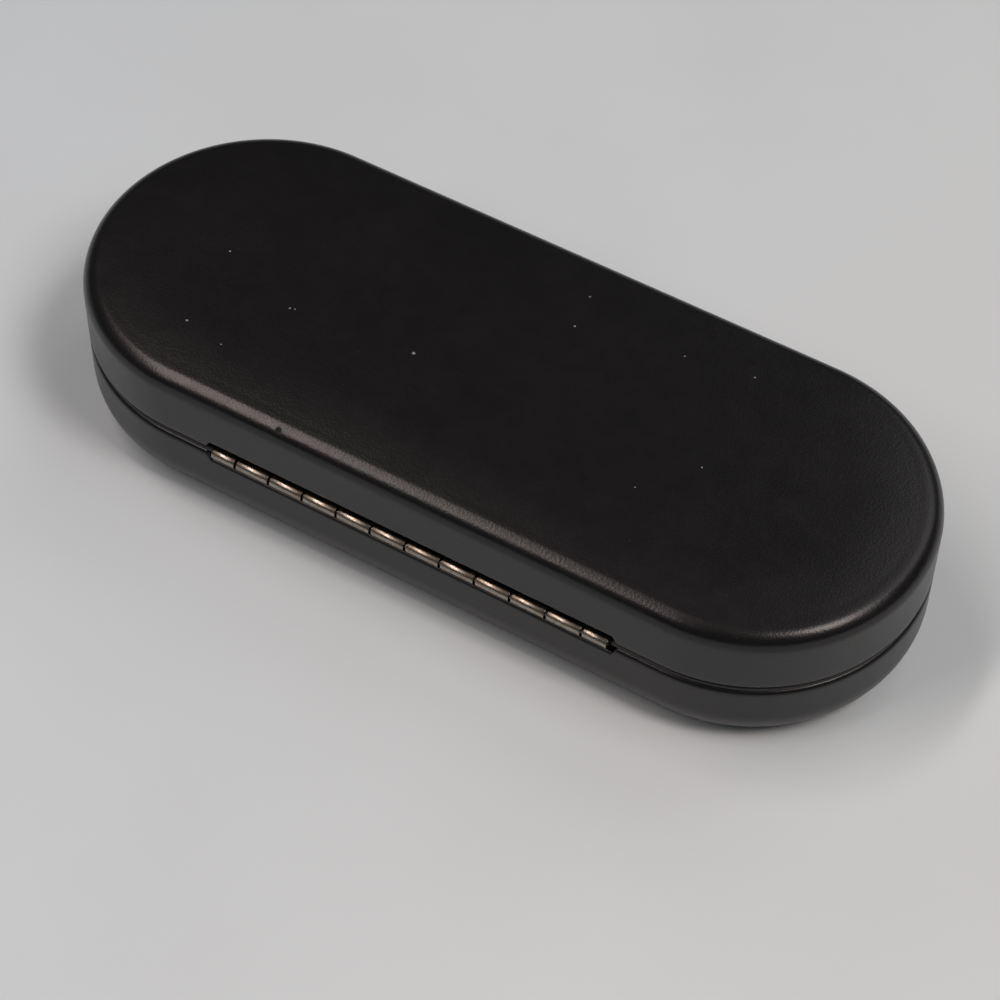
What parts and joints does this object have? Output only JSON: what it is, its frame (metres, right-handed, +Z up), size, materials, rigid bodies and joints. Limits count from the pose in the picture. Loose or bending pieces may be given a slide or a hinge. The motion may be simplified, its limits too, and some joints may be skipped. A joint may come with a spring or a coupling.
{
  "type": "sunglasses case",
  "caption": "Hard clamshell sunglasses case with round ends, black leatherette cover, flocked liners and a sprung piano hinge in the rear seam.",
  "frame": {"origin": "centre of the flat underside", "axes": "+X along the case, +Y towards the hinge side, +Z up out of the lid"},
  "size_m": [0.16, 0.0637, 0.0302],
  "materials": {
    "leatherette": "smooth matte black leatherette, very fine grain",
    "shell_steel": "pressed sheet, dull",
    "foam": "thin closed-cell foam",
    "flocking": "black flock on a thin formed tray",
    "band_plastic": "satin black",
    "hinge_nickel": "worn nickel plate",
    "rivet_steel": "plain steel",
    "spring_steel": "hard-drawn wire",
    "strip_fabric": "thin black woven strip"
  },
  "bodies": {
    "base": {"base_shell": "shell_steel", "base_cover": "leatherette", "base_padding": "foam", "base_liner": "flocking", "base_rim_band": "band_plastic", "hinge_leaf_base": "hinge_nickel", "leaf_rivets_base": "rivet_steel", "hinge_pin": "hinge_nickel", "hinge_strip": "strip_fabric"},
    "lid": {"lid_shell": "shell_steel", "lid_cover": "leatherette", "lid_padding": "foam", "lid_liner": "flocking", "hinge_leaf_lid": "hinge_nickel", "leaf_rivets_lid": "rivet_steel"},
    "left_spring": {"spring_left": "spring_steel"},
    "right_spring": {"spring_right": "spring_steel"}
  },
  "joints": [
    {"name": "lid_hinge", "type": "hinge", "parent": "base", "child": "lid", "pos_m": [0, 0.0312, 0.0158], "axis": [-1, 0, 0], "range_deg": [0, 120], "stiffness_Nm_per_rad": 0.03, "springref_deg": -57.3, "deforming": ["spring_left", "spring_right", "hinge_strip"]},
    {"name": "left_spring_pivot", "type": "hinge", "parent": "base", "child": "left_spring", "pos_m": [-0.022, 0.0288, 0.01164], "axis": [-1, 0, 0], "range_deg": [0, 60]},
    {"name": "right_spring_pivot", "type": "hinge", "parent": "base", "child": "right_spring", "pos_m": [0.022, 0.0288, 0.01164], "axis": [-1, 0, 0], "range_deg": [0, 60]}
  ],
  "couplings": [
    {"joint": "left_spring_pivot", "follows": "lid_hinge", "ratio": 0.5},
    {"joint": "right_spring_pivot", "follows": "lid_hinge", "ratio": 0.5}
  ]
}
